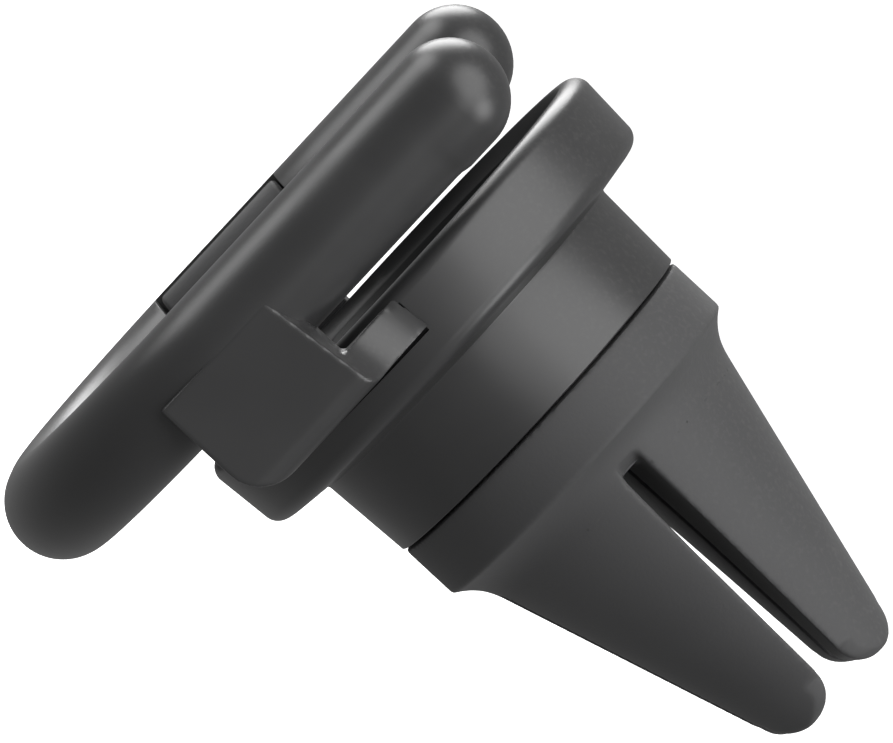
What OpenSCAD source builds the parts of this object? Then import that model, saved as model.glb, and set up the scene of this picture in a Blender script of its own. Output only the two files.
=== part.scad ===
// Vent mount for a round phone grip: a U-shaped cradle on a dished disc, which turns on a
// clip whose four fingers hold a louvre of a car's air vent.
// The swivel axis is Y. The cradle faces -Y and opens upwards, the fingers point to +Y.
// The origin is on the axis, at the bottom of the slots, where the louvre's edge comes to rest.

/* [Cradle frame] */
// Width over both arms
frame_w = 50; // [48:0.5:60]
// Height of the arm ends above the swivel axis
arm_top = 17.9; // [14:0.1:24]
// Depth of the frame's bottom below the swivel axis
frame_drop = 33.5; // [31:0.1:42]
// Width of the bar that the frame is bent from
bar_w = 9.2; // [8.8:0.1:11]
// Thickness of the bar, which has full-round edges
bar_t = 8.7; // [7.6:0.1:8.7]
// Radius of the frame's lower corners, at the bar's middle
bend_r = 18; // [10:0.1:18.4]
// How far the arm ends stand proud at the back, to keep the grip in
nib = 0.2; // [0.1:0.05:0.4]
// Length of the thicker end of each arm
nib_len = 2.6; // [1:0.1:4]

/* [Side arms] */
// Top of the side arm's outer wall where it leaves the bar, below the axis
ear_top = 6.4; // [5:0.1:8]
// Slope of that top towards the disc, in degrees
ear_tilt = 6; // [0:0.5:8]
// How much higher the dished top is at its inner edge
ear_lift = 1; // [0.4:0.1:2]
// Radius of the dished top
ear_dish_r = 6; // [4:0.5:12]
// Bottom of the side arm, below the axis
ear_bottom = 17.4; // [15:0.1:19]
// How far the side arm reaches back past the disc's rim
ear_reach = 3.9; // [3.4:0.05:4.4]
// Height of the fillet that runs up the side of the disc
ear_rise = 6; // [4:0.1:7]
// Radius of the side arm's outer rear corner
ear_plan_r = 1.6; // [0.8:0.1:3]
// Radius of the side arm's lower rear corner
ear_side_r = 3.4; // [1.5:0.1:5]
// How far the hook reaches into the disc's side
hook_depth = 1.5; // [0.8:0.1:1.6]
// Height of the hook
hook_h = 11.8; // [8:0.1:13]
// Clearance round the hook in its pocket
hook_gap = 0.3; // [0.15:0.05:0.4]
// Clearance between the side arm's inner wall and the disc
side_gap = 0.1; // [0.05:0.05:0.4]

/* [Grip pads] */
// Top of the pad, below the axis
pad_top = 2.1; // [1:0.1:4]
// Length of the pad
pad_len = 13.2; // [8:0.1:13.2]
// Thickness of the pad
pad_t = 1.6; // [1:0.1:2]
// Clearance between the pad and the ends of its recess
pad_gap = 0.15; // [0.05:0.05:0.4]

/* [Disc and neck] */
// Diameter of the disc
disc_d = 40.4; // [38:0.1:44]
// Thickness of the disc, from rim to neck
disc_t = 7.45; // [7.3:0.05:9]
// Slope of the disc's side, for the mould
disc_draft = 0.3; // [0:0.05:0.5]
// Rounding of the disc's edges
rim_r = 1.3; // [0.5:0.1:1.5]
// Width of the rim's flat lip
rim_lip = 0.5; // [0.3:0.1:1]
// Depth of the dish
dish_depth = 2.4; // [1.6:0.1:2.6]
// Depth of the bevel inside the rim
dish_bevel = 1; // [0.5:0.1:1.2]
// Space between the frame and the rim, where the grip's button slides
button_gap = 1.95; // [1.5:0.05:4]
// Diameter of the neck at the disc
neck_d = 30.1; // [28:0.1:34]
// Length of the neck
neck_len = 7.45; // [6.8:0.05:12]
// How much narrower the neck is at its end
neck_draft = 0.3; // [0:0.05:0.5]
// Wall of the neck
neck_wall = 2.2; // [1.6:0.1:2.4]

/* [Swivel] */
// Gap between the neck and the clip
seam_gap = 0.25; // [0.2:0.05:0.6]
// Edge bevel on both sides of that gap
seam_bevel = 0.25; // [0.1:0.05:0.4]
// Radius of the post
post_r = 4; // [3:0.1:5]
// Running clearance of the turning parts, on the radius
run_gap = 0.05; // [0.02:0.01:0.1]
// End play of the swivel
end_play = 0.1; // [0.05:0.01:0.2]
// Wall of the bush
bush_wall = 1.2; // [0.8:0.1:1.6]
// Radius of the bush's flange
flange_r = 7.2; // [6.8:0.1:8]
// Thickness of the bush's flange
flange_t = 0.7; // [0.5:0.1:1]
// Thickness of the web that holds the bush
web_t = 1.8; // [1.4:0.1:2]
// Radius of the screw's thread
screw_r = 1.5; // [1.2:0.1:1.5]
// Depth of the screw's hole
screw_len = 7; // [5:0.5:9]
// Width of the blades of the screw's cross recess
recess_w = 0.6; // [0.4:0.1:0.8]
// Radius of the screw's head
head_r = 2.9; // [2.6:0.1:3.2]
// Height of the screw's head
head_t = 1.2; // [1:0.1:1.4]
// Radius of the retaining washer
washer_r = 7.2; // [6.6:0.1:8]
// Thickness of the retaining washer
washer_t = 0.6; // [0.4:0.1:0.8]
// Thickness of the slide washer under it
slide_t = 0.5; // [0.3:0.1:0.8]
// Height of the spring washer as fitted
spring_h = 0.8; // [0.7:0.05:1]
// Thickness of the spring washer's metal
spring_t = 0.4; // [0.3:0.05:0.5]
// Radius of the friction ring's round section
ring_r = 0.85; // [0.7:0.05:1]
// Length of the guide that fills the neck
guide_len = 4.6; // [4:0.1:5]

/* [Dish cover] */
// Radius of the cover plate
cap_r = 15.6; // [13:0.1:16]
// Thickness of the cover plate
cap_t = 1.2; // [0.8:0.1:1.4]
// Thickness of the soft pad on the cover plate
face_pad_t = 0.8; // [0.5:0.1:1.2]

/* [Clip] */
// Turn of the clip about the swivel axis
clip_turn = -10; // [-40:1:40]
// Diameter of the clip's barrel
barrel_d = 29.3; // [28:0.1:34]
// Length of the clip from the gap to the bottom of the slots
clip_base = 8.1; // [7.6:0.1:12]
// Length of the barrel's straight part
barrel_len = 4.65; // [3:0.05:5]
// Radius of the fingers' cone at the bottom of the slots
cone_r = 12.25; // [11.8:0.05:13]
// Slope of the cone, in degrees
cone_a = 15.7; // [12:0.1:17]
// Length of the fingers
finger_len = 22.55; // [20:0.1:24]
// Radius of a finger's tip
tip_r = 2.6; // [2:0.1:2.8]
// Width of the main slot, for thick louvres
slot_w = 2.6; // [2:0.1:3.2]
// Width of the cross slot, for thin louvres
cross_w = 1.5; // [1:0.1:2]
// Gap between the fingers and the clip's cover
root_gap = 0.3; // [0.3:0.05:0.5]
// Wall of the clip's cover
cover_wall = 2.45; // [1.8:0.05:2.6]
// Thickness of the cover's end wall
end_wall = 0.8; // [0.6:0.1:1]

/* [Jaws] */
// Height of the jaw's hinge bead from the swivel axis
bead_z = 8.5; // [7.5:0.1:8.7]
// Distance of the bead behind the bottom of the slots
bead_y = 2; // [2:0.1:2.4]
// Radius of the bead
bead_r = 1.1; // [0.9:0.05:1.2]
// Half the length of the bead
bead_x = 4.4; // [3.8:0.1:4.6]
// Thickness of the jaw's neck
jaw_neck = 1.2; // [0.8:0.1:1.3]
// Play of the jaw's neck in its window, each side
jaw_play = 0.25; // [0.2:0.05:0.4]
// Half the height of the spine in a finger, at the root
spine_root = 1.25; // [0.8:0.05:1.4]
// Half the height of the spine in a finger, at the tip
spine_tip = 0.8; // [0.5:0.05:1]

/* [Hidden] */
$fn = 96;
eps = 0.01;

// Stations along the swivel axis, from the clip forwards
clip_y = -clip_base;
neck_end_y = clip_y - seam_gap;
neck_y = neck_end_y - neck_len;
rim_y = neck_y - disc_t;
frame_back_y = rim_y - button_gap;
frame_mid_y = frame_back_y - bar_t / 2;
frame_front_y = frame_back_y - bar_t;

// Frame
arm_x = (frame_w - bar_w) / 2;
edge_r = bar_t / 2;
bar_flat = (bar_w - bar_t) / 2;
arm_end_z = arm_top - edge_r;
frame_bottom_z = -frame_drop + bar_w / 2;
bend = min(bend_r, arm_x - eps);
bend_z = frame_bottom_z + bend;
bend_x = arm_x - bend;

// Side arms and their pockets in the disc
disc_r = disc_d / 2;
ear_in_x = disc_r + side_gap;
ear_out_x = frame_w / 2;
ear_w = ear_out_x - ear_in_x;
ear_end_y = rim_y + ear_reach;
ear_len = ear_end_y - frame_mid_y;
ear_top_z = -ear_top + ear_len * tan(ear_tilt);
ear_peak_z = ear_top_z + ear_rise;
ear_fillet_r = (pow(ear_w, 2) + pow(ear_rise, 2)) / (2 * ear_w);
ear_chord = norm([ear_w, ear_lift]);
ear_dish_h = sqrt(pow(ear_dish_r, 2) - pow(ear_chord / 2, 2));
flange_front_y = rim_y + rim_r / 2;
ear_round = min(ear_plan_r, ear_w);
hook_set = 0.1;
hook_y0 = rim_y + rim_r - hook_set;
hook_y1 = ear_end_y - hook_set;
hook_z1 = -hook_gap;
hook_z0 = hook_z1 - hook_h;
hook_in_r = disc_r - hook_depth;
hook_root = 0.05;

// Grip pads, let into the inner half of each arm
pad_x = arm_x - bar_flat;
recess_z = -pad_top - pad_len;

// Disc, neck and what they hold
neck_r = neck_d / 2;
neck_bore_r = neck_r - neck_draft / 2 - neck_wall;
lip_r = disc_r - rim_r - rim_lip;
bevel_slope = 1.2;
dish_r = lip_r - dish_bevel * bevel_slope;
hub_step = 0.5;
floor_y = rim_y + dish_depth;
cap_y = floor_y + cap_t;
head_y = cap_y + end_play;
washer_y = head_y + head_t;
post_y = washer_y + washer_t;
slide_y = post_y + end_play;
web_y = slide_y + slide_t;
flange_y = web_y + web_t;
spring_y = flange_y + flange_t + run_gap;
shoulder_y = spring_y + spring_h;
well_play = 0.8;
well_r = washer_r + well_play;
bush_r = post_r + run_gap + bush_wall;
pad_rim = 0.4;
spring_in_r = post_r + 0.4;
screw_end_gap = 0.5;

// Clip
barrel_r = barrel_d / 2;
barrel_y = clip_y + barrel_len;
core_r = barrel_r - cover_wall;
core_step = 0.2;
core_step_y = barrel_y - core_step;
core_back_y = -end_wall;
back_wall = 1;
core_back_r = cone_r - back_wall;
shoulder_r = flange_r + well_play;
guide_r = neck_bore_r - run_gap;
guide_y = neck_end_y - guide_len;
groove_y = neck_end_y - guide_len / 2;
ring_mid_r = guide_r - ring_r;
mouth = jaw_neck / 2 + jaw_play;
mouth_side = 0.2;
mouth_x = bead_x + mouth_side;

// Fingers
finger_y = root_gap;
tip_y = finger_len - tip_r;
tip_z = slot_w / 2 + tip_r;
spine_cover = 0.85;
spine_y0 = finger_y + 0.7;
spine_y1 = tip_y + 0.6;
spine_x = cross_w / 2 + spine_cover;
spine_tip_w = 1.2;
neck_sink = 0.5;

// Points of an arc from angle a0 to a1
function arc(cx, cy, r, a0, a1, n = 10) =
    [for (i = [0 : n]) [cx + r * cos(a0 + (a1 - a0) * i / n), cy + r * sin(a0 + (a1 - a0) * i / n)]];

// Radius of the cone of the fingers
function cone_at(y) = cone_r - y * tan(cone_a);

// Radius of the flare between the barrel and the cone
function flare_at(y) = cone_at(y) + (barrel_r - cone_at(barrel_y)) * pow(y / barrel_y, 3);

// Turns a profile of radius and station round the swivel axis
module about_y(angle = 360) rotate([-90, 0, 0]) rotate_extrude(angle = angle) children();

// A ring or disc between two stations
module ring(y0, y1, r_out, r_in = 0) {
    translate([0, y0, 0]) rotate([-90, 0, 0]) difference() {
        cylinder(h = y1 - y0, r = r_out);
        if (r_in > 0) translate([0, 0, -eps]) cylinder(h = y1 - y0 + 2 * eps, r = r_in);
    }
}

// Extrudes an outline in X and Z along Y, and one in Y and Z along X
module along_y(y0, y1) translate([0, y1, 0]) rotate([90, 0, 0]) linear_extrude(y1 - y0) children();
module along_x(x0, x1) translate([x0, 0, 0]) rotate([90, 0, 90]) linear_extrude(x1 - x0) children();

// Section of the frame's bar, full-round on both edges
module bar_section() {
    for (s = [-1, 1]) translate([s * bar_flat, 0]) circle(r = edge_r);
    square([2 * bar_flat, bar_t], center = true);
}

// Domed end of an arm, from a given height up
module arm_end(from_z) translate([arm_x, frame_mid_y, 0]) {
    for (s = [-1, 1]) translate([s * bar_flat, 0, arm_end_z]) sphere(r = edge_r);
    translate([-bar_flat, 0, arm_end_z]) rotate([0, 90, 0]) cylinder(h = 2 * bar_flat, r = edge_r);
    translate([0, 0, from_z]) linear_extrude(arm_end_z - from_z) bar_section();
}

// One lower corner of the frame
module frame_corner() translate([bend_x, frame_mid_y, bend_z]) rotate([90, 0, 0])
    rotate([0, 0, -90]) rotate_extrude(angle = 90) translate([bend, 0]) bar_section();

// Outlines that round the side arm's rear edge, from above and from the side
module ear_plan() {
    square([ear_w - ear_round, ear_len]);
    square([ear_w, ear_len - ear_round]);
    translate([ear_w - ear_round, ear_len - ear_round]) circle(r = ear_round);
}
module ear_side() {
    square([ear_len - ear_side_r, ear_bottom + ear_peak_z]);
    translate([0, ear_side_r]) square([ear_len, ear_bottom + ear_peak_z - ear_side_r]);
    translate([ear_len - ear_side_r, ear_side_r]) circle(r = ear_side_r);
}

// Wall of the side arm with its dished top, and the fillet that runs up beside the disc
module ear_wall() {
    difference() {
        translate([ear_in_x, frame_mid_y, -ear_bottom])
            cube([ear_w, ear_len, ear_bottom + ear_top_z + ear_lift]);
        translate([ear_in_x, frame_mid_y, -ear_top]) rotate([ear_tilt - 90, 0, 0])
            translate([ear_w / 2 + ear_dish_h * ear_lift / ear_chord,
                -ear_lift / 2 - ear_dish_h * ear_w / ear_chord, -1])
            cylinder(h = ear_len + 2, r = ear_dish_r);
    }
    along_y(flange_front_y, ear_end_y) difference() {
        translate([ear_in_x, -ear_bottom]) square([ear_w, ear_bottom + ear_peak_z]);
        translate([ear_in_x + ear_fillet_r, ear_peak_z]) circle(r = ear_fillet_r);
    }
}

// Side arm that carries the frame on the disc, with its hook
module ear() {
    intersection() {
        ear_wall();
        translate([ear_in_x, frame_mid_y, -ear_bottom]) linear_extrude(ear_bottom + ear_peak_z)
            ear_plan();
        translate([0, frame_mid_y, -ear_bottom]) along_x(ear_in_x, ear_out_x) ear_side();
    }
    along_y(hook_y0, hook_y1) difference() {
        translate([0, hook_z0]) square([ear_in_x + hook_root, hook_h]);
        circle(r = hook_in_r);
    }
}

// Recess for one grip pad: the inner half of the bar, down to the pad's thickness
module pad_recess() translate([pad_x, frame_mid_y, recess_z]) linear_extrude(pad_len)
    difference() {
        translate([-bar_w, -bar_w]) square([bar_w, 2 * bar_w]);
        circle(r = edge_r - pad_t);
    }

// U-shaped frame that the grip's button slides behind
module cradle_frame() color("#2b2b2d") difference() {
    union() {
        for (m = [0, 1]) mirror([m, 0, 0]) {
            arm_end(bend_z);
            translate([0, nib, 0]) arm_end(arm_end_z - nib_len);
            frame_corner();
            ear();
        }
        translate([-bend_x, frame_mid_y, frame_bottom_z]) rotate([0, 90, 0])
            linear_extrude(2 * bend_x) bar_section();
    }
    for (m = [0, 1]) mirror([m, 0, 0]) pad_recess();
}

// Soft pad on the inner side of an arm, flush with the bar
module grip_pad() translate([pad_x, frame_mid_y, recess_z + pad_gap])
    linear_extrude(pad_len - 2 * pad_gap) difference() {
        circle(r = edge_r);
        circle(r = edge_r - pad_t);
        translate([0, -bar_w]) square([bar_w, 2 * bar_w]);
    }
module grip_pad_right() color("#1c1c1e") grip_pad();
module grip_pad_left() color("#1c1c1e") mirror([1, 0, 0]) grip_pad();

// Dished disc and neck in one, hollow for the swivel
module head_housing() color("#2b2b2d") difference() {
    about_y() polygon(concat(
        [[0, floor_y], [dish_r, floor_y], [dish_r, rim_y + dish_bevel], [lip_r, rim_y]],
        arc(disc_r - rim_r, rim_y + rim_r, rim_r, -90, 0),
        arc(disc_r - disc_draft - rim_r, neck_y - hub_step - rim_r, rim_r, 0, 80),
        [[neck_r, neck_y], [neck_r - neck_draft, neck_end_y - seam_bevel],
            [neck_r - neck_draft - seam_bevel, neck_end_y], [0, neck_end_y]]));
    ring(floor_y - 1, cap_y, cap_r);
    ring(cap_y - 1, web_y, well_r);
    ring(web_y - 1, flange_y + 1, bush_r);
    ring(flange_y, neck_end_y + 1, neck_bore_r);
    for (m = [0, 1]) mirror([m, 0, 0]) along_y(hook_y0, ear_end_y + hook_gap) difference() {
        translate([0, hook_z0 - hook_gap]) square([disc_d, hook_h + 2 * hook_gap]);
        circle(r = hook_in_r - hook_gap);
    }
}

// Flanged plain bush in the web of the housing
module swivel_bush() color("#d8d4c8") difference() {
    union() {
        ring(web_y, flange_y, bush_r);
        ring(flange_y, flange_y + flange_t, flange_r);
    }
    ring(web_y - 1, flange_y + flange_t + 1, post_r + run_gap);
}

// Plain washer between the web and the retaining washer
module slide_washer() color("#d8d4c8") ring(slide_y, web_y, washer_r, post_r + run_gap);

// Plate that closes the swivel's well at the bottom of the dish
module dish_cover() color("#2b2b2d") ring(floor_y, cap_y, cap_r);

// Soft pad that the grip's button bears on
module dish_pad() color("#1c1c1e") about_y() polygon(concat(
    [[0, floor_y - face_pad_t]],
    arc(cap_r - pad_rim - face_pad_t / 2, floor_y - face_pad_t / 2, face_pad_t / 2, -90, 0),
    [[cap_r - pad_rim, floor_y], [0, floor_y]]));

// Hard core of the clip: guide, post and sockets for both jaws
module clip_core() color("#343437") rotate([0, clip_turn, 0]) difference() {
    union() {
        ring(post_y, shoulder_y + 1, post_r);
        ring(shoulder_y, guide_y + 1, shoulder_r);
        ring(guide_y, neck_end_y, guide_r);
        ring(neck_end_y - 1, core_step_y, core_r);
        ring(core_step_y - 1, core_back_y, core_back_r);
    }
    ring(post_y - 1, post_y + screw_len, screw_r);
    ring(groove_y - ring_r, groove_y + ring_r, guide_r + 1, ring_mid_r - ring_r);
    for (s = [-1, 1]) translate([0, -bead_y, s * bead_z]) {
        rotate([0, 90, 0]) cylinder(h = 2 * mouth_x, r = bead_r + run_gap, center = true);
        translate([-mouth_x, 0, -mouth]) cube([2 * mouth_x, bead_y, 2 * mouth]);
    }
}

// Rubber cover of the barrel and its flare, with windows for the jaws
module clip_cover() color("#333335") rotate([0, clip_turn, 0]) difference() {
    about_y() polygon(concat(
        [[0, clip_y], [barrel_r - seam_bevel, clip_y], [barrel_r, clip_y + seam_bevel]],
        [for (i = [0 : 10]) let(y = barrel_y * (1 - i / 10)) [flare_at(y), y]],
        [[0, 0]]));
    ring(clip_y - 1, core_step_y, core_r);
    ring(core_step_y - 1, core_back_y, core_back_r);
    for (s = [-1, 1]) translate([-mouth_x, core_back_y - 1, s * bead_z - mouth])
        cube([2 * mouth_x, end_wall + 2, 2 * mouth]);
}

// Rubber ring that gives the swivel its friction
module friction_ring() color("#161617") rotate([0, clip_turn, 0])
    about_y() translate([ring_mid_r, groove_y]) circle(r = ring_r, $fn = 32);

// Dished spring washer that takes up the swivel's play
module spring_washer() color("#9a9a9c") rotate([0, clip_turn, 0]) about_y() polygon([
    [spring_in_r, spring_y], [flange_r, shoulder_y - spring_t],
    [flange_r, shoulder_y], [spring_in_r, spring_y + spring_t]]);

// Washer that keeps the post in the bush
module retaining_washer() color("#b9b9bb") rotate([0, clip_turn, 0])
    ring(washer_y, post_y, washer_r, screw_r);

// Screw in the end of the post, with a cross recess
module swivel_screw() color("#a8a8aa") rotate([0, clip_turn, 0]) difference() {
    union() {
        ring(head_y, washer_y, head_r);
        ring(washer_y, post_y + screw_len - screw_end_gap, screw_r);
    }
    for (a = [0, 90]) rotate([0, a, 0]) translate([-head_r / 2, head_y - eps, -recess_w / 2])
        cube([head_r, head_t / 2, recess_w]);
}

// Solid of one spine inside a finger, on the right
module spine() intersection() {
    along_x(spine_x, bead_x) polygon([
        [spine_y0, bead_z - spine_root], [spine_y1, tip_z - spine_tip],
        [spine_y1, tip_z + spine_tip], [spine_y0, bead_z + spine_root]]);
    linear_extrude(2 * bead_z) polygon([
        [spine_x, spine_y0], [bead_x, spine_y0],
        [spine_x + spine_tip_w, spine_y1], [spine_x, spine_y1]]);
}

// Neck of one spine, through the window in the cover
module spine_neck(from_y) translate([spine_x, from_y, bead_z - jaw_neck / 2])
    cube([bead_x - spine_x, spine_y0 + neck_sink - from_y, jaw_neck]);

// Spine of a jaw: one bead, and a neck and a spine for each of its two fingers
module jaw_spine() {
    translate([0, -bead_y, bead_z]) rotate([0, 90, 0])
        cylinder(h = 2 * bead_x, r = bead_r, center = true);
    for (m = [0, 1]) mirror([m, 0, 0]) {
        spine_neck(-bead_y);
        spine();
    }
}
module upper_jaw_spine() color("#3a3a3d") rotate([0, clip_turn, 0]) jaw_spine();
module lower_jaw_spine() color("#3a3a3d") rotate([0, clip_turn + 180, 0]) jaw_spine();

// One rubber finger: a quarter of the cone with a round tip, over its spine
module finger() difference() {
    intersection() {
        about_y() polygon([[0, finger_y], [cone_at(finger_y), finger_y],
            [cone_at(finger_len), finger_len], [0, finger_len]]);
        along_x(cross_w / 2, barrel_r) union() {
            translate([finger_y, slot_w / 2]) square([tip_y - finger_y, barrel_r]);
            translate([tip_y, tip_z]) circle(r = tip_r);
        }
        linear_extrude(barrel_r) union() {
            translate([cross_w / 2, finger_y]) square([barrel_r, tip_y - finger_y]);
            translate([cross_w / 2 + tip_r, tip_y]) circle(r = tip_r);
        }
    }
    spine();
    spine_neck(0);
}
module upper_right_finger() color("#333335") rotate([0, clip_turn, 0]) finger();
module upper_left_finger() color("#333335") rotate([0, clip_turn, 0]) mirror([1, 0, 0]) finger();
module lower_right_finger() color("#333335") rotate([0, clip_turn, 0]) mirror([0, 0, 1]) finger();
module lower_left_finger() color("#333335") rotate([0, clip_turn + 180, 0]) finger();

cradle_frame();
grip_pad_right();
grip_pad_left();
head_housing();
swivel_bush();
slide_washer();
dish_cover();
dish_pad();
clip_core();
clip_cover();
friction_ring();
spring_washer();
retaining_washer();
swivel_screw();
upper_jaw_spine();
upper_right_finger();
upper_left_finger();
lower_jaw_spine();
lower_right_finger();
lower_left_finger();
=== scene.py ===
from math import cos, pi, radians, sin, tan

import bpy
from mathutils import Matrix, Vector


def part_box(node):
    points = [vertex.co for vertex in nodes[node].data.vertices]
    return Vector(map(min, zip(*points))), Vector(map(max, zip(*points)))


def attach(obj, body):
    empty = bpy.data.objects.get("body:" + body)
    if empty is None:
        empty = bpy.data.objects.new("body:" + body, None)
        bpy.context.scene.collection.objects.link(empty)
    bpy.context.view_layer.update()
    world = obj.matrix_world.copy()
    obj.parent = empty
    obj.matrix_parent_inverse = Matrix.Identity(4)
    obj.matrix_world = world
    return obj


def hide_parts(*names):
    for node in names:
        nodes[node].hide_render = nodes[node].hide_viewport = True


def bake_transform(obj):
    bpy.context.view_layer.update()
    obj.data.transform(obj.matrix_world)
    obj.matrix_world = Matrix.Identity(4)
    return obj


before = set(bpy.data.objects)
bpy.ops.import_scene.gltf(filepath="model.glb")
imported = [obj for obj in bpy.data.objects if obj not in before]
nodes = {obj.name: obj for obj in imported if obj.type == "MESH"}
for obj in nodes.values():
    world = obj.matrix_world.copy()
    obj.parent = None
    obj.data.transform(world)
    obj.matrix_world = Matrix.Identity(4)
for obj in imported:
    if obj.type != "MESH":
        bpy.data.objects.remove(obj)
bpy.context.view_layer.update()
mm = 0.001
print("frame loaded:", len(nodes), "nodes")

# Stations and sizes that the CAD gives, in mm
frameLow, frameHigh = [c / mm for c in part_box("cradle_frame")]
headLow, headHigh = [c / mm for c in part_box("head_housing")]
coverLow, coverHigh = [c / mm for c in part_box("clip_cover")]
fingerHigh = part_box("upper_right_finger")[1] / mm
padLow, padHigh = [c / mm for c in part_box("grip_pad_right")]
facePadLow, facePadHigh = [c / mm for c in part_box("dish_pad")]
coverPlateLow, coverPlateHigh = [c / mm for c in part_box("dish_cover")]


# handling of pieces

def deselectAll():
    if bpy.context.object and bpy.context.object.mode != "OBJECT":
        bpy.ops.object.mode_set(mode="OBJECT")
    bpy.ops.object.select_all(action="DESELECT")


def workOn(piece):
    deselectAll()
    piece.select_set(True)
    bpy.context.view_layer.objects.active = piece


def pick(piece, test):  # selects the vertices that pass, then edit mode
    workOn(piece)
    bpy.ops.object.mode_set(mode="EDIT")
    bpy.ops.mesh.select_mode(type="VERT")
    bpy.ops.mesh.select_all(action="DESELECT")
    bpy.ops.object.mode_set(mode="OBJECT")
    for v in piece.data.vertices:
        v.select = bool(test(v.co / mm))
    bpy.ops.object.mode_set(mode="EDIT")


def nameIt(name):
    piece = bpy.context.object
    piece.name = name
    piece.data.name = name
    return piece


def startPoint(point):  # a single vertex to pull an outline from
    deselectAll()
    bpy.ops.mesh.primitive_plane_add(size=mm)
    bpy.ops.object.mode_set(mode="EDIT")
    bpy.ops.mesh.select_mode(type="VERT")
    bpy.ops.mesh.select_all(action="SELECT")
    bpy.ops.mesh.merge(type="CENTER")
    bpy.ops.transform.translate(value=Vector(point) * mm)


def pullOutline(points):
    startPoint(points[0])
    for a, b in zip(points, points[1:]):
        bpy.ops.mesh.extrude_vertices_move(TRANSFORM_OT_translate={"value": (Vector(b) - Vector(a)) * mm})


def turnedPiece(name, outline, steps=192):  # outline of radius and station along Y
    pullOutline([(r, y, 0) for r, y in outline])
    bpy.ops.mesh.select_all(action="SELECT")
    bpy.ops.mesh.spin(steps=steps, angle=2 * pi, center=(0, 0, 0), axis=(0, 1, 0))
    bpy.ops.mesh.select_all(action="SELECT")
    bpy.ops.mesh.remove_doubles(threshold=0.002 * mm)
    bpy.ops.mesh.normals_make_consistent(inside=False)
    bpy.ops.object.mode_set(mode="OBJECT")
    return nameIt(name)


def cutPlate(name, outline, low, high, flat):  # closed outline pulled from low to high; flat names its plane
    depth = high - low
    pull = {"yz": (depth, 0, 0), "xy": (0, 0, depth)}[flat]
    pullOutline([(low, a, b) if flat == "yz" else (a, b, low) for a, b in outline])
    bpy.ops.mesh.select_all(action="SELECT")
    bpy.ops.mesh.edge_face_add()
    bpy.ops.mesh.extrude_region_move(TRANSFORM_OT_translate={"value": Vector(pull) * mm})
    bpy.ops.mesh.select_all(action="SELECT")
    bpy.ops.mesh.normals_make_consistent(inside=False)
    bpy.ops.object.mode_set(mode="OBJECT")
    return nameIt(name)


def block(name, low, high):
    deselectAll()
    bpy.ops.mesh.primitive_cube_add(size=1)
    bpy.ops.object.mode_set(mode="EDIT")
    low, high = Vector(low), Vector(high)
    bpy.ops.transform.resize(value=(high - low) * mm, center_override=(0, 0, 0))
    bpy.ops.transform.translate(value=(high + low) * mm / 2)
    bpy.ops.object.mode_set(mode="OBJECT")
    return nameIt(name)


def rod(name, radius, low, high, along, verts=160):  # a plain cylinder between two points on a row axis
    deselectAll()
    middle = (Vector(low) + Vector(high)) * mm / 2
    turn = {"x": (0, pi / 2, 0), "y": (pi / 2, 0, 0), "z": (0, 0, 0)}[along]
    bpy.ops.mesh.primitive_cylinder_add(vertices=verts, radius=radius * mm,
                                        depth=(Vector(high) - Vector(low)).length * mm)
    piece = nameIt(name)
    piece.rotation_euler = turn
    piece.location = middle
    bpy.ops.object.transform_apply(location=True, rotation=True, scale=True)
    return piece


def fitted(piece, other, how="DIFFERENCE"):  # boolean with another piece, which is used up
    workOn(piece)
    m = piece.modifiers.new(how.lower(), "BOOLEAN")
    m.object = other
    m.operation = how
    m.solver = "EXACT"
    bpy.ops.object.modifier_apply(modifier=m.name)
    bpy.data.objects.remove(other)
    return piece


def eased(piece, width, angle=32, segments=3):  # rounds the sharp edges
    workOn(piece)
    m = piece.modifiers.new("ease", "BEVEL")
    m.width = width * mm
    m.segments = segments
    m.limit_method = "ANGLE"
    m.angle_limit = radians(angle)
    m.use_clamp_overlap = True
    bpy.ops.object.modifier_apply(modifier=m.name)
    return piece


def reskinned(piece, grid, rounds, weight=None):  # one even skin with softly rounded edges
    workOn(piece)
    m = piece.modifiers.new("skin", "REMESH")
    m.mode = "VOXEL"
    m.voxel_size = grid * mm
    bpy.ops.object.modifier_apply(modifier=m.name)
    return relaxed(piece, rounds, weight)


def relaxed(piece, rounds, weight):  # evens out a skin, less where the weight at a point is low
    ease = piece.vertex_groups.new(name="ease")
    for v in piece.data.vertices:
        ease.add([v.index], weight(v.co / mm) if weight else 1, "REPLACE")
    m = piece.modifiers.new("ease", "SMOOTH")
    m.factor = 0.5
    m.iterations = rounds
    m.vertex_group = ease.name
    bpy.ops.object.modifier_apply(modifier=m.name)
    return piece


def smoothed(piece, angle=32):
    workOn(piece)
    bpy.ops.object.shade_smooth_by_angle(angle=radians(angle))
    return piece


def mirroredCopy(piece, name):
    workOn(piece)
    bpy.ops.object.duplicate()
    bpy.ops.transform.resize(value=(-1, 1, 1), center_override=(0, 0, 0))
    bpy.ops.object.transform_apply(location=True, rotation=True, scale=True)
    bpy.ops.object.mode_set(mode="EDIT")
    bpy.ops.mesh.select_all(action="SELECT")
    bpy.ops.mesh.normals_make_consistent(inside=False)
    bpy.ops.object.mode_set(mode="OBJECT")
    return nameIt(name)


def joined(name, pieces):
    deselectAll()
    for p in pieces:
        p.select_set(True)
    bpy.context.view_layer.objects.active = pieces[0]
    bpy.ops.object.join()
    return nameIt(name)


def arcPoints(cx, cy, radius, start, end, count=10):
    return [(cx + radius * cos(radians(start + (end - start) * i / count)),
             cy + radius * sin(radians(start + (end - start) * i / count))) for i in range(count + 1)]


# finishes

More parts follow.
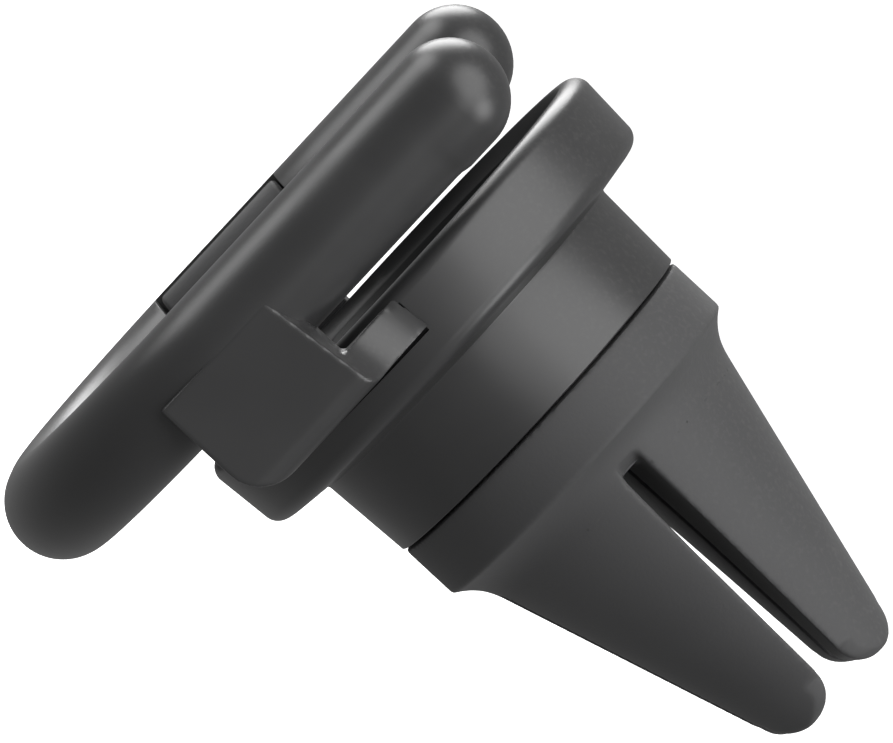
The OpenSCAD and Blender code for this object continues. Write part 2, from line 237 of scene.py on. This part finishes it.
def newGroup(name, inputs, outputs):
    group = bpy.data.node_groups.new(name, "ShaderNodeTree")
    for label, kind, value in inputs:
        s = group.interface.new_socket(label, in_out="INPUT", socket_type=kind)
        if value is not None:
            s.default_value = value
    for label, kind in outputs:
        group.interface.new_socket(label, in_out="OUTPUT", socket_type=kind)
    return group, group.nodes.new("NodeGroupInput"), group.nodes.new("NodeGroupOutput")


def buildMouldGrain():  # fine spark-eroded texture of the mould
    group, start, end = newGroup("mouldGrain", [("Vector", "NodeSocketVector", None),
                                                ("Scale", "NodeSocketFloat", 4000.0),
                                                ("Coarse", "NodeSocketFloat", 0.4)],
                                 [("Height", "NodeSocketFloat"), ("Mask", "NodeSocketFloat")])
    fine = group.nodes.new("ShaderNodeTexNoise")
    fine.inputs["Detail"].default_value = 3
    fine.inputs["Roughness"].default_value = 0.6
    cells = group.nodes.new("ShaderNodeTexVoronoi")
    cells.feature = "SMOOTH_F1"
    less = group.nodes.new("ShaderNodeMath")
    less.operation = "MULTIPLY"
    less.inputs[1].default_value = 0.6
    blend = group.nodes.new("ShaderNodeMix")
    link = group.links.new
    link(start.outputs["Vector"], fine.inputs["Vector"])
    link(start.outputs["Vector"], cells.inputs["Vector"])
    link(start.outputs["Scale"], fine.inputs["Scale"])
    link(start.outputs["Scale"], less.inputs[0])
    link(less.outputs[0], cells.inputs["Scale"])
    link(start.outputs["Coarse"], blend.inputs["Factor"])
    link(fine.outputs["Fac"], blend.inputs["A"])
    link(cells.outputs["Distance"], blend.inputs["B"])
    link(blend.outputs["Result"], end.inputs["Height"])
    link(fine.outputs["Fac"], end.inputs["Mask"])
    return group


def buildHandling():  # soft patches where it has been touched, and faint hairlines
    group, start, end = newGroup("handling", [("Vector", "NodeSocketVector", None),
                                              ("Patch Scale", "NodeSocketFloat", 90.0),
                                              ("Hairlines", "NodeSocketFloat", 0.3)],
                                 [("Mask", "NodeSocketFloat")])
    patch = group.nodes.new("ShaderNodeTexNoise")
    patch.inputs["Detail"].default_value = 4
    patch.inputs["Distortion"].default_value = 0.7
    stretch = group.nodes.new("ShaderNodeMapping")
    stretch.inputs["Scale"].default_value = (260, 9000, 700)
    stretch.inputs["Rotation"].default_value = (0.4, 0.2, 0.6)
    hair = group.nodes.new("ShaderNodeTexNoise")
    hair.inputs["Scale"].default_value = 1
    hair.inputs["Detail"].default_value = 1
    thin = group.nodes.new("ShaderNodeMapRange")
    thin.inputs["From Min"].default_value = 0.68
    thin.inputs["From Max"].default_value = 0.78
    soft = group.nodes.new("ShaderNodeMapRange")
    soft.inputs["From Min"].default_value = 0.35
    soft.inputs["From Max"].default_value = 0.68
    weigh = group.nodes.new("ShaderNodeMath")
    weigh.operation = "MULTIPLY"
    both = group.nodes.new("ShaderNodeMath")
    both.operation = "ADD"
    both.use_clamp = True
    link = group.links.new
    link(start.outputs["Vector"], patch.inputs["Vector"])
    link(start.outputs["Patch Scale"], patch.inputs["Scale"])
    link(start.outputs["Vector"], stretch.inputs["Vector"])
    link(stretch.outputs["Vector"], hair.inputs["Vector"])
    link(hair.outputs["Fac"], thin.inputs["Value"])
    link(patch.outputs["Fac"], soft.inputs["Value"])
    link(thin.outputs["Result"], weigh.inputs[0])
    link(start.outputs["Hairlines"], weigh.inputs[1])
    link(weigh.outputs[0], both.inputs[0])
    link(soft.outputs["Result"], both.inputs[1])
    link(both.outputs[0], end.inputs["Mask"])
    return group


def buildDust():  # a trace of dust on what faces up
    group, start, end = newGroup("settledDust", [("Vector", "NodeSocketVector", None),
                                                 ("Amount", "NodeSocketFloat", 0.2)],
                                 [("Mask", "NodeSocketFloat")])
    shape = group.nodes.new("ShaderNodeNewGeometry")
    split = group.nodes.new("ShaderNodeSeparateXYZ")
    upward = group.nodes.new("ShaderNodeMapRange")
    upward.inputs["From Min"].default_value = 0.2
    upward.inputs["From Max"].default_value = 1.0
    specks = group.nodes.new("ShaderNodeTexNoise")
    specks.inputs["Scale"].default_value = 2600
    specks.inputs["Detail"].default_value = 5
    thin = group.nodes.new("ShaderNodeMapRange")
    thin.inputs["From Min"].default_value = 0.5
    thin.inputs["From Max"].default_value = 0.75
    first = group.nodes.new("ShaderNodeMath")
    first.operation = "MULTIPLY"
    second = group.nodes.new("ShaderNodeMath")
    second.operation = "MULTIPLY"
    link = group.links.new
    link(shape.outputs["Normal"], split.inputs["Vector"])
    link(split.outputs["Z"], upward.inputs["Value"])
    link(start.outputs["Vector"], specks.inputs["Vector"])
    link(specks.outputs["Fac"], thin.inputs["Value"])
    link(upward.outputs["Result"], first.inputs[0])
    link(thin.outputs["Result"], first.inputs[1])
    link(first.outputs[0], second.inputs[0])
    link(start.outputs["Amount"], second.inputs[1])
    link(second.outputs[0], end.inputs["Mask"])
    return group


mouldGrain, handling, settledDust = buildMouldGrain(), buildHandling(), buildDust()


def madeFinish(name, f):  # a finish from its dictionary
    finish = bpy.data.materials.new(name)
    finish.use_nodes = True
    finish.diffuse_color = (*f["colour"], 1)
    tree = finish.node_tree
    link = tree.links.new
    shader = tree.nodes["Principled BSDF"]
    where = tree.nodes.new("ShaderNodeTexCoord")
    placed = tree.nodes.new("ShaderNodeMapping")
    placed.inputs["Rotation"].default_value = (0.3, 0.5, 0.1)
    link(where.outputs["Object"], placed.inputs["Vector"])
    grain = tree.nodes.new("ShaderNodeGroup")
    grain.node_tree = mouldGrain
    grain.inputs["Scale"].default_value = f["grainScale"]
    grain.inputs["Coarse"].default_value = f["coarse"]
    marks = tree.nodes.new("ShaderNodeGroup")
    marks.node_tree = handling
    marks.inputs["Patch Scale"].default_value = f["patchScale"]
    marks.inputs["Hairlines"].default_value = f["hairlines"]
    dust = tree.nodes.new("ShaderNodeGroup")
    dust.node_tree = settledDust
    dust.inputs["Amount"].default_value = f["dust"]
    for g in (grain, marks, dust):
        link(placed.outputs["Vector"], g.inputs["Vector"])
    tone = tree.nodes.new("ShaderNodeMix")
    tone.data_type = "RGBA"
    tone.inputs["A"].default_value = (*f["colour"], 1)
    tone.inputs["B"].default_value = (*f["worn"], 1)
    link(marks.outputs["Mask"], tone.inputs["Factor"])
    dusty = tree.nodes.new("ShaderNodeMix")
    dusty.data_type = "RGBA"
    dusty.inputs["B"].default_value = (0.35, 0.34, 0.32, 1)
    link(dust.outputs["Mask"], dusty.inputs["Factor"])
    link(tone.outputs["Result"], dusty.inputs["A"])
    link(dusty.outputs["Result"], shader.inputs["Base Color"])
    rough = tree.nodes.new("ShaderNodeMapRange")
    rough.inputs["To Min"].default_value = f["rough"][0]
    rough.inputs["To Max"].default_value = f["rough"][1]
    link(marks.outputs["Mask"], rough.inputs["Value"])
    link(rough.outputs["Result"], shader.inputs["Roughness"])
    bump = tree.nodes.new("ShaderNodeBump")
    bump.inputs["Strength"].default_value = f["bump"]
    bump.inputs["Distance"].default_value = f["depth"] * mm
    link(grain.outputs["Height"], bump.inputs["Height"])
    link(bump.outputs["Normal"], shader.inputs["Normal"])
    shader.inputs["Metallic"].default_value = f.get("metal", 0)
    shader.inputs["Specular IOR Level"].default_value = f.get("specular", 0.5)
    shader.inputs["Sheen Weight"].default_value = f.get("sheen", 0)
    shader.inputs["Sheen Roughness"].default_value = 0.5
    return finish


satinPlastic = madeFinish("satinPlastic", {
    "colour": (0.022, 0.022, 0.0225), "worn": (0.026, 0.026, 0.0265), "rough": (0.34, 0.40),
    "grainScale": 5200, "coarse": 0.35, "bump": 0.12, "depth": 0.02,
    "patchScale": 70, "hairlines": 0.25, "dust": 0.05})
clipRubber = madeFinish("clipRubber", {
    "colour": (0.040, 0.040, 0.041), "worn": (0.046, 0.046, 0.047), "rough": (0.60, 0.68),
    "grainScale": 6500, "coarse": 0.5, "bump": 0.35, "depth": 0.03,
    "patchScale": 60, "hairlines": 0.1, "dust": 0.06, "specular": 0.35, "sheen": 0.05})
softPad = madeFinish("softPad", {
    "colour": (0.016, 0.016, 0.017), "worn": (0.022, 0.022, 0.023), "rough": (0.62, 0.75),
    "grainScale": 3800, "coarse": 0.6, "bump": 0.4, "depth": 0.04,
    "patchScale": 120, "hairlines": 0.0, "dust": 0.15, "specular": 0.3, "sheen": 0.1})
slidePlastic = madeFinish("slidePlastic", {
    "colour": (0.72, 0.70, 0.64), "worn": (0.62, 0.59, 0.52), "rough": (0.35, 0.5),
    "grainScale": 3000, "coarse": 0.3, "bump": 0.1, "depth": 0.01,
    "patchScale": 200, "hairlines": 0.5, "dust": 0.1})
hardCore = madeFinish("hardCore", {
    "colour": (0.045, 0.045, 0.048), "worn": (0.06, 0.06, 0.062), "rough": (0.45, 0.55),
    "grainScale": 2600, "coarse": 0.4, "bump": 0.2, "depth": 0.02,
    "patchScale": 150, "hairlines": 0.4, "dust": 0.05})
platedSteel = madeFinish("platedSteel", {
    "colour": (0.60, 0.60, 0.61), "worn": (0.50, 0.50, 0.50), "rough": (0.25, 0.42),
    "grainScale": 2200, "coarse": 0.2, "bump": 0.15, "depth": 0.01,
    "patchScale": 260, "hairlines": 0.8, "dust": 0.0, "metal": 1})
print("finishes made")


def paint(piece, finish):
    piece.data.materials.clear()
    piece.data.materials.append(finish)


inside = {
    "swivel_bush": slidePlastic, "slide_washer": slidePlastic, "clip_core": hardCore,
    "upper_jaw_spine": hardCore, "lower_jaw_spine": hardCore, "friction_ring": softPad,
    "spring_washer": platedSteel, "retaining_washer": platedSteel, "swivel_screw": platedSteel,
}
for node, finish in inside.items():
    for s in nodes[node].material_slots:
        s.material = finish


# cradle frame

bar = {
    "width": 9.2, "thickness": 8.7, "bend": 18, "nib": 0.2, "nibLength": 2.6,
    "ringVerts": 96, "domeRings": 14, "bendRings": 40,
}
bar["armX"] = frameHigh.x - bar["width"] / 2
bar["edge"] = bar["thickness"] / 2
bar["flat"] = (bar["width"] - bar["thickness"]) / 2
bar["midY"] = frameLow.y + bar["edge"]
bar["endZ"] = frameHigh.z - bar["edge"]
bar["bendX"] = bar["armX"] - bar["bend"]
bar["bendZ"] = frameLow.z + bar["width"] / 2 + bar["bend"]

ear = {
    "inX": headHigh.x + 0.1, "outX": frameHigh.x, "endY": frameHigh.y,
    "top": -6.4, "tilt": radians(6), "lift": 1, "rise": 6, "bottom": -17.4,
    "flangeY": headLow.y + 0.65, "sideRound": 3.4, "planRound": 1.6, "grid": 0.16, "smoothing": 4,
}
hook = {
    "frontY": headLow.y + 1.2, "inR": headHigh.x - 1.5, "top": -0.3, "height": 11.8, "fromX": 15, "play": 0.3,
}
recess = {"top": padHigh.z + 0.15, "bottom": padLow.z - 0.15, "skin": 1.6}


def madeBar():
    b = bar
    deselectAll()
    bpy.ops.mesh.primitive_circle_add(vertices=b["ringVerts"], radius=b["edge"] * mm)
    half = nameIt("bar")
    for side in (-1, 1):  # the flat between the two round edges
        pick(half, lambda c: c.x * side > 0.001)
        bpy.ops.transform.translate(value=(side * b["flat"] * mm, 0, 0))
    bpy.ops.mesh.select_all(action="SELECT")
    bpy.ops.transform.translate(value=Vector((b["armX"], b["midY"], b["endZ"])) * mm)
    centre = Vector((b["armX"], b["midY"], b["endZ"])) * mm
    for i in range(1, b["domeRings"] + 1):  # domed end
        now, before = radians(90 * i / b["domeRings"]), radians(90 * (i - 1) / b["domeRings"])
        rise = b["edge"] * (sin(now) - sin(before)) * mm
        bpy.ops.mesh.extrude_region_move(TRANSFORM_OT_translate={"value": (0, 0, rise)})
        if i < b["domeRings"]:
            k = cos(now) / cos(before)
            level = b["edge"] * sin(now) * mm + centre.z
            bpy.ops.transform.resize(value=(k, k, k), center_override=(centre.x, centre.y, level))
    bpy.ops.mesh.merge(type="CENTER")
    pick(half, lambda c: abs(c.z - b["endZ"]) < 0.001)
    stops = [b["endZ"] - b["nibLength"] * s for s in (0.5, 1, 1.15, 1.3, 1.5)] + [2, -5, b["bendZ"]]
    z = b["endZ"]
    for stop in stops:
        bpy.ops.mesh.extrude_region_move(TRANSFORM_OT_translate={"value": (0, 0, (stop - z) * mm)})
        z = stop
    bpy.ops.mesh.spin(steps=b["bendRings"], angle=pi / 2, axis=(0, -1, 0),
                      center=Vector((b["bendX"], b["midY"], b["bendZ"])) * mm)
    bpy.ops.mesh.extrude_region_move(TRANSFORM_OT_translate={"value": (-b["bendX"] * mm, 0, 0)})
    bpy.ops.object.mode_set(mode="OBJECT")
    for v in half.data.vertices:  # the thicker end of the arm, at its back
        c = v.co / mm
        along = min(1, max(0, (c.z - (b["endZ"] - b["nibLength"] * 1.4)) / (b["nibLength"] * 0.4)))
        back = max(0, (c.y - b["midY"]) / b["edge"])
        v.co.y += b["nib"] * along * along * (3 - 2 * along) * back * mm
    m = half.modifiers.new("twin", "MIRROR")
    m.use_clip = True
    m.merge_threshold = 0.01 * mm
    bpy.ops.object.modifier_apply(modifier=m.name)
    bpy.ops.object.mode_set(mode="EDIT")
    bpy.ops.mesh.select_all(action="SELECT")
    bpy.ops.mesh.remove_doubles(threshold=0.001 * mm)
    bpy.ops.mesh.normals_make_consistent(inside=False)
    bpy.ops.object.mode_set(mode="OBJECT")
    return half


def padSpace(name, shrink):  # the space of a pad: the inner half of the bar's skin
    b, r = bar, recess
    axisX = b["armX"] - b["flat"]
    low, high = r["bottom"] + shrink, r["top"] - shrink
    space = block(name, (axisX - 2 * b["edge"], b["midY"] - 2 * b["edge"], low),
                  (axisX, b["midY"] + 2 * b["edge"], high))
    ends = (axisX, b["midY"], low - 1), (axisX, b["midY"], high + 1)
    return fitted(space, rod("inner", b["edge"] - r["skin"], *ends, "z"))


def madeEar():
    e, h = ear, hook
    width, length = e["outX"] - e["inX"], e["endY"] - bar["midY"]
    topZ = e["top"] + length * tan(e["tilt"])
    peak = topZ + e["rise"]
    fillet = (width ** 2 + e["rise"] ** 2) / (2 * width)
    wall = block("ear", (e["inX"], bar["midY"], e["bottom"]), (e["outX"], e["endY"], peak))
    scoop = rod("scoop", fillet, (fillet, -3, e["rise"]), (fillet, length + 3, e["rise"]), "y", 128)
    scoop.rotation_euler = (e["tilt"], 0, 0)
    scoop.location = Vector((e["inX"], bar["midY"], e["top"])) * mm
    bpy.ops.object.transform_apply(location=True, rotation=True, scale=True)
    fitted(wall, scoop)
    over = 1  # how far a cutting tool reaches past what it cuts
    # in front of the flange only the low part of the dish is left
    fitted(wall, block("front", (e["inX"] - over, bar["midY"] - over, e["top"] + e["lift"]),
                       (e["outX"] + over, e["flangeY"], peak + 5)))
    far = 30
    plan = [(-far, -far), (e["outX"], -far), (e["outX"], e["endY"] - e["planRound"])]
    plan += arcPoints(e["outX"] - e["planRound"], e["endY"] - e["planRound"], e["planRound"], 0, 90, 8)[1:]
    fitted(wall, cutPlate("plan", plan + [(-far, e["endY"])], -far, far, "xy"), "INTERSECT")
    lowY = e["endY"] - e["sideRound"]
    side = [(-far, far), (-far, e["bottom"]), (lowY, e["bottom"])]
    side += arcPoints(lowY, e["bottom"] + e["sideRound"], e["sideRound"], -90, 0, 12)[1:]
    fitted(wall, cutPlate("side", side + [(e["endY"], far)], 0, far, "yz"), "INTERSECT")
    claw = block("claw", (h["fromX"], h["frontY"], h["top"] - h["height"]),
                 (e["inX"] + 0.04, e["endY"] - 0.1, h["top"]))
    fitted(claw, rod("discSide", h["inR"], (0, h["frontY"] - 1, 0), (0, e["endY"] + 1, 0), "y", 256))
    fitted(wall, claw, "UNION")
    reskinned(wall, e["grid"], e["smoothing"])
    wall.name = "ear"
    return wall


cradle = madeBar()
spaceRight = padSpace("recessRight", 0)
spaceLeft = mirroredCopy(spaceRight, "recessLeft")
fitted(cradle, spaceRight)
fitted(cradle, spaceLeft)
smoothed(eased(cradle, 0.12, 55), 30)
earRight = smoothed(madeEar(), 30)
earLeft = mirroredCopy(earRight, "earLeft")
cradle = joined("cradleFrame", [cradle, earRight, earLeft])
paint(cradle, satinPlastic)
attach(cradle, "head")
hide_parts("cradle_frame")
print("cradle frame made")

# grip pads

gripPad = {"gap": 0.3, "sink": 0.2, "ease": 0.4}


def madePad():
    b = bar
    axisX = b["armX"] - b["flat"]
    pad = padSpace("gripPadRight", gripPad["gap"])
    ends = (axisX, b["midY"], -40), (axisX, b["midY"], 10)
    fitted(pad, rod("outer", b["edge"] - gripPad["sink"], *ends, "z", 192), "INTERSECT")
    eased(pad, gripPad["ease"], 40, 4)
    return smoothed(pad, 40)


padRight = madePad()
padLeft = mirroredCopy(padRight, "gripPadLeft")
for pad, node in ((padRight, "grip_pad_right"), (padLeft, "grip_pad_left")):
    paint(pad, softPad)
    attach(pad, "head")
    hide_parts(node)
print("grip pads made")

# disc and neck

disc = {
    "radius": headHigh.x, "rim": 1.3, "lip": 0.5, "bevel": 1, "draft": 0.3, "step": 0.5,
    "neck": 15.05, "neckEnd": 14.75, "neckY": headLow.y + 7.45, "seam": 0.12, "bore": 12.7,
    "well": 8, "floorRound": 0.35, "floorY": coverPlateLow.y,
    "seatY": coverPlateHigh.y, "seatR": coverPlateHigh.x,
    "webY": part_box("swivel_bush")[0].y / mm, "web": 1.8, "bush": 5.25,
}


def madeHead():
    d = disc
    lip = d["radius"] - d["rim"] - d["lip"]
    flangeY = d["webY"] + d["web"]
    outline = [(d["bush"], d["webY"]), (d["well"], d["webY"]), (d["well"], d["seatY"]),
               (d["seatR"], d["seatY"]), (d["seatR"], d["floorY"])]
    wallR, soft = lip - 1.2 * d["bevel"], d["floorRound"]  # the dish's wall, and the round at its foot
    outline += arcPoints(wallR - soft, d["floorY"] - soft, soft, 90, 0, 5)
    outline += [(wallR, headLow.y + d["bevel"] + 0.1)]
    outline += [(wallR + 0.06, headLow.y + d["bevel"] - 0.02), (lip - 0.1, headLow.y + 0.07)]
    outline += [(lip + 0.06, headLow.y)]
    outline += arcPoints(d["radius"] - d["rim"], headLow.y + d["rim"], d["rim"], -90, 0, 14)
    backR, backY = d["radius"] - d["draft"] - d["rim"], d["neckY"] - d["step"] - d["rim"]
    outline += arcPoints(backR, backY, d["rim"], 0, 80, 14)
    outline += [(d["neck"] + r, d["neckY"] + y) for r, y in ((0.35, -0.03), (0.1, 0.06), (0, 0.3))]
    outline += [(d["neckEnd"], headHigh.y - d["seam"])]
    outline += arcPoints(d["neckEnd"] - d["seam"], headHigh.y - d["seam"], d["seam"], 0, 90, 5)[1:]
    outline += [(d["bore"], headHigh.y), (d["bore"], flangeY), (d["bush"], flangeY), (d["bush"], d["webY"])]
    head = turnedPiece("headHousing", outline, 256)
    h = hook
    for side in (-1, 1):
        x = sorted((side * h["fromX"], side * 22))
        space = block("pocket", (x[0], h["frontY"], h["top"] - h["height"] - h["play"]),
                      (x[1], ear["endY"] + h["play"], h["top"] + h["play"]))
        ends = (0, h["frontY"] - 1, 0), (0, ear["endY"] + 2, 0)
        fitted(space, rod("core", h["inR"] - h["play"], *ends, "y", 256))
        fitted(head, space)
    return smoothed(head, 24)


head = madeHead()
paint(head, satinPlastic)
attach(head, "head")
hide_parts("head_housing")

coverPlate = turnedPiece("dishCover", [(0, coverPlateLow.y), (coverPlateHigh.x - 0.25, coverPlateLow.y),
                                       (coverPlateHigh.x - 0.07, coverPlateLow.y + 0.07),
                                       (coverPlateHigh.x - 0.02, coverPlateLow.y + 0.25),
                                       (coverPlateHigh.x - 0.02, coverPlateHigh.y), (0, coverPlateHigh.y)])
paint(smoothed(coverPlate), satinPlastic)
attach(coverPlate, "head")
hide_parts("dish_cover")

facePad = {"rim": 0.4, "grooves": 5, "grooveDepth": 0.22, "grooveWidth": 0.5}


def madeFacePad():  # soft disc with fine rings that hold the grip's button still
    p = facePad
    front, back, edge = facePadLow.y, facePadHigh.y, facePadHigh.x
    outline = [(0, front)]
    for i in range(p["grooves"]):
        r, half = edge * (i + 1) / (p["grooves"] + 1), p["grooveWidth"] / 2
        outline += [(r - half, front)]
        outline += [(r + half * k, front + p["grooveDepth"] * (1 - k * k)) for k in (-0.7, 0, 0.7)]
        outline += [(r + half, front)]
    outline += arcPoints(edge - p["rim"], front + p["rim"], p["rim"], -90, 0, 8)
    outline += [(edge, back), (0, back)]
    return turnedPiece("dishPad", outline, 160)


dishPad = smoothed(madeFacePad(), 40)
paint(dishPad, softPad)
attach(dishPad, "head")
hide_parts("dish_pad")
print("disc made")

# clip

clip = {
    "turn": -10, "barrelR": coverHigh.x, "frontY": coverLow.y, "barrelY": coverLow.y + 4.65,
    "coneR": 12.25, "coneA": 15.7, "length": fingerHigh.y + 0.2, "tipR": 2.6, "slot": 2.27, "cross": 1.5,
    "slotRoot": 2.05, "slotFull": 7, "rootY": -0.7,
    "mouthFrom": 10.2, "mouthWidth": 2.6, "mouthRound": 2.1, "mouthDepth": 0.7,
    "grid": 0.2, "smoothing": 8, "seam": 0.12,
    "coreR": 12.2, "coreBackR": 11.25, "endWall": 0.8, "window": (4.6, 8.5, 0.85),
}


def coneAt(y):
    return clip["coneR"] - y * tan(radians(clip["coneA"]))


def flareAt(y):
    c = clip
    return coneAt(y) + (c["barrelR"] - coneAt(c["barrelY"])) * (y / c["barrelY"]) ** 3


def tipMask(name, slotWidth, flat):  # everything but the room beyond the round tips, seen along one axis
    c = clip
    tipY, tipC = c["length"] - c["tipR"], slotWidth / 2 + c["tipR"]
    far = 20
    side = [(c["frontY"] - 2, far), (tipY, far)] + arcPoints(tipY, tipC, c["tipR"], 90, -90, 20)
    lower = [(y, -z) for y, z in reversed(side)]
    outline = side + lower
    if flat == "xy":
        outline = [(x, y) for y, x in outline]
    return cutPlate(name, outline, -far, far, flat)


def slotTool(name, rootWidth, width, flat):  # a slot that opens a little over its first part
    c = clip
    half, root = width / 2, rootWidth / 2
    side = [(c["rootY"] + 0.3, root), (c["slotFull"], half), (40, half)]
    outline = [(y, z) for y, z in side] + [(y, -z) for y, z in reversed(side)]
    outline += [(c["rootY"] + 0.09, -root + 0.09), (c["rootY"], -root + 0.3), (c["rootY"], root - 0.3),
                (c["rootY"] + 0.09, root - 0.09)]
    if flat == "xy":
        outline = [(x, y) for y, x in outline]
    return cutPlate(name, outline, -16, 16, flat)


def madeClipBody():
    c = clip
    outline = [(0, c["frontY"]), (c["barrelR"] - c["seam"], c["frontY"])]
    outline += [(c["barrelR"], c["frontY"] + c["seam"])]
    outline += [(flareAt(y), y) for y in (c["barrelY"] * (1 - i / 16) for i in range(16))]
    outline += [(coneAt(0), 0), (coneAt(c["length"]), c["length"]), (0, c["length"])]
    body = turnedPiece("clipBody", outline, 192)
    fitted(body, tipMask("sideMask", c["slot"], "yz"), "INTERSECT")
    fitted(body, tipMask("planMask", c["cross"], "xy"), "INTERSECT")
    fitted(body, slotTool("mainSlot", c["slotRoot"], c["slot"], "yz"))
    fitted(body, slotTool("crossSlot", c["cross"], c["cross"], "xy"))
    for side in (-1, 1):  # the main slot runs a little deeper at its mouths
        edge, far = c["mouthFrom"], c["mouthFrom"] + c["mouthWidth"]
        mouth = [(side * x, c["rootY"] - c["mouthDepth"] * ((x - edge) / c["mouthRound"]) ** 2)
                 for x in (edge + c["mouthWidth"] * i / 8 for i in range(9))]
        fitted(body, cutPlate("mouth", mouth + [(side * far, 2), (side * edge, 2)],
                              0.05 - c["slotRoot"] / 2, c["slotRoot"] / 2, "xy"))
    return reskinned(body, c["grid"], c["smoothing"],  # the flare's crease and the seam's edge stay crisp
                     lambda p: min(1, max(0.06, (p.y - c["barrelY"] - 0.3) / 0.8)))


def keptPart(source, name, cuts):  # a copy of the body, kept on the far side of each cut plane
    workOn(source)
    bpy.ops.object.duplicate()
    part = nameIt(name)
    for point, normal in cuts:
        bpy.ops.object.mode_set(mode="EDIT")
        bpy.ops.mesh.select_all(action="SELECT")
        bpy.ops.mesh.bisect(plane_co=Vector(point) * mm, plane_no=normal, use_fill=True, clear_inner=True)
        bpy.ops.object.mode_set(mode="OBJECT")
    return part


def turnClip(piece):  # the clip stands turned on its swivel
    workOn(piece)
    piece.rotation_euler = (0, radians(clip["turn"]), 0)
    bpy.ops.object.transform_apply(location=True, rotation=True, scale=True)
    return piece


c = clip
clipBody = madeClipBody()
split = 0.02
barrel = keptPart(clipBody, "clipCover", [((0, split, 0), (0, -1, 0))])
coreStepY = c["barrelY"] - 0.2
core = turnedPiece("core", [(0, c["frontY"] - 1), (c["coreR"], c["frontY"] - 1), (c["coreR"], coreStepY),
                            (c["coreBackR"], coreStepY), (c["coreBackR"], -c["endWall"]), (0, -c["endWall"])])
fitted(barrel, core)
halfX, middle, halfZ = c["window"]
for side in (-1, 1):
    fitted(barrel, block("window", (-halfX, -2, side * middle - halfZ), (halfX, 1, side * middle + halfZ)))
turnClip(smoothed(barrel, 40))
paint(barrel, clipRubber)
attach(barrel, "clip")
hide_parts("clip_cover")

for jaw, up in (("upper", 1), ("lower", -1)):
    for hand, side in (("Right", 1), ("Left", -1)):
        finger = keptPart(clipBody, f"{jaw}{hand}Finger",
                          [((0, split, 0), (0, 1, 0)), ((0, 0, 0), (0, 0, up)), ((0, 0, 0), (side, 0, 0))])
        turnClip(smoothed(finger, 40))
        paint(finger, clipRubber)
        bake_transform(finger)
        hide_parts(f"{jaw}_{hand.lower()}_finger")
bpy.data.objects.remove(clipBody)
print("clip made")

# floor, light and camera

deselectAll()
bpy.ops.mesh.primitive_plane_add(size=16, location=(0, 0, -0.07))
floor = nameIt("floor")
pale = bpy.data.materials.new("paleFloor")
pale.use_nodes = True
paleShader = pale.node_tree.nodes["Principled BSDF"]
paleShader.inputs["Base Color"].default_value = (0.8, 0.8, 0.8, 1)
paleShader.inputs["Roughness"].default_value = 0.9
paleShader.inputs["Emission Color"].default_value = (1, 1, 1, 1)
paleShader.inputs["Emission Strength"].default_value = 0.85
paint(floor, pale)
floor.visible_diffuse = False
floor.visible_glossy = False

studio = {"backdrop": 1.0, "fill": 0.32}  # white behind the object, and the room's own dim light on it
scene = bpy.context.scene
scene.view_settings.view_transform = "Standard"
world = bpy.data.worlds.new("studio")
world.use_nodes = True
scene.world = world
air = world.node_tree
fill = air.nodes["Background"]
fill.inputs["Strength"].default_value = studio["fill"]
fill.inputs["Color"].default_value = (1, 1, 1, 1)
backdrop = air.nodes.new("ShaderNodeBackground")
backdrop.inputs["Strength"].default_value = studio["backdrop"]
backdrop.inputs["Color"].default_value = (1, 1, 1, 1)
seen = air.nodes.new("ShaderNodeLightPath")
choice = air.nodes.new("ShaderNodeMixShader")
air.links.new(seen.outputs["Is Camera Ray"], choice.inputs["Fac"])
air.links.new(fill.outputs["Background"], choice.inputs[1])
air.links.new(backdrop.outputs["Background"], choice.inputs[2])
air.links.new(choice.outputs["Shader"], air.nodes["World Output"].inputs["Surface"])

softLights = {  # place, size, power
    "key": ((0.50, 0.05, 0.78), 1.1, 10),
    "near": ((0.88, 0.38, 0.32), 0.6, 1.8),
    "side": ((0.40, 0.80, 0.45), 0.6, 5),
    "front": ((-0.10, -0.97, 0.15), 0.7, 6),
    "rim": ((-0.75, -0.55, 0.45), 0.7, 9),
}
for name, (place, size, power) in softLights.items():
    data = bpy.data.lights.new(name, "AREA")
    data.shape = "DISK"
    data.size = size
    data.energy = power
    lamp = bpy.data.objects.new(name, data)
    scene.collection.objects.link(lamp)
    lamp.location = place
    lamp.rotation_euler = (-Vector(place)).to_track_quat("-Z", "Y").to_euler()

view = {"azimuth": 87, "elevation": 4, "roll": 43, "distance": 1.0, "lens": 540, "aim": (0, -15.0, -2.8)}
az, el, roll = (radians(view[k]) for k in ("azimuth", "elevation", "roll"))
away = Vector((cos(el) * sin(az), -cos(el) * cos(az), sin(el)))
rightWards = Vector((0, 0, 1)).cross(away).normalized()
upWards = away.cross(rightWards)
right = cos(roll) * rightWards + sin(roll) * upWards
up = -sin(roll) * rightWards + cos(roll) * upWards
cameraData = bpy.data.cameras.new("camera")
cameraData.lens = view["lens"]
cameraData.sensor_width = 36
cameraData.clip_start = 0.05
cameraData.clip_end = 50
camera = bpy.data.objects.new("camera", cameraData)
scene.collection.objects.link(camera)
spot = Vector(view["aim"]) * mm + away * view["distance"]
camera.matrix_world = Matrix(((right.x, up.x, away.x, spot.x), (right.y, up.y, away.y, spot.y),
                              (right.z, up.z, away.z, spot.z), (0, 0, 0, 1)))
scene.camera = camera
print("stage set")
